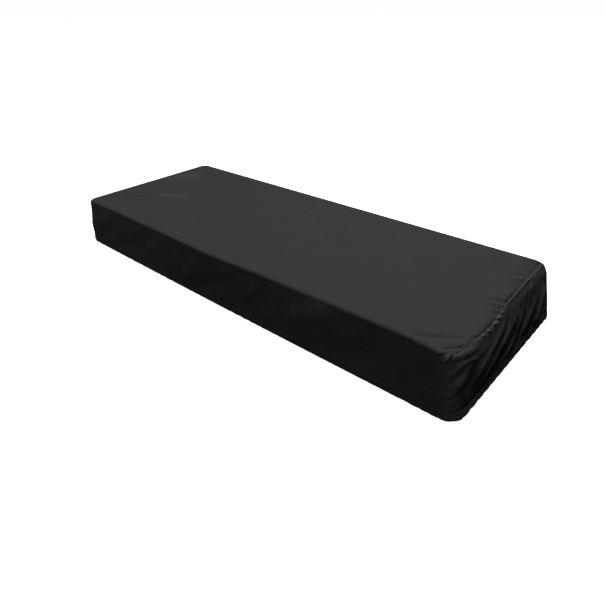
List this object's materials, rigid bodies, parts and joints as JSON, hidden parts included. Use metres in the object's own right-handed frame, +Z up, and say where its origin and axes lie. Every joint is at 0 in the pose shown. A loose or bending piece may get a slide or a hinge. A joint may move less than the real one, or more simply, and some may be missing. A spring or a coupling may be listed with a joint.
{
  "type": "piano cover",
  "caption": "Fitted dust cover of black woven cloth for a portable electronic piano: a long, low shell, open below, with swagged folds at one end and an elastic hem.",
  "frame": {"origin": "middle of the top's underside, where the covered instrument's top bears", "axes": "+X along the length, +Z up, -Y towards the front, where the player sits"},
  "size_m": [1.0397, 0.4046, 0.1074],
  "materials": {
    "cloth": "plain-woven black polyester with a thin coating, faintly satin"
  },
  "bodies": {
    "root": {"main_panel": "cloth", "right_end_panel": "cloth", "left_end_panel": "cloth"}
  },
  "joints": []
}
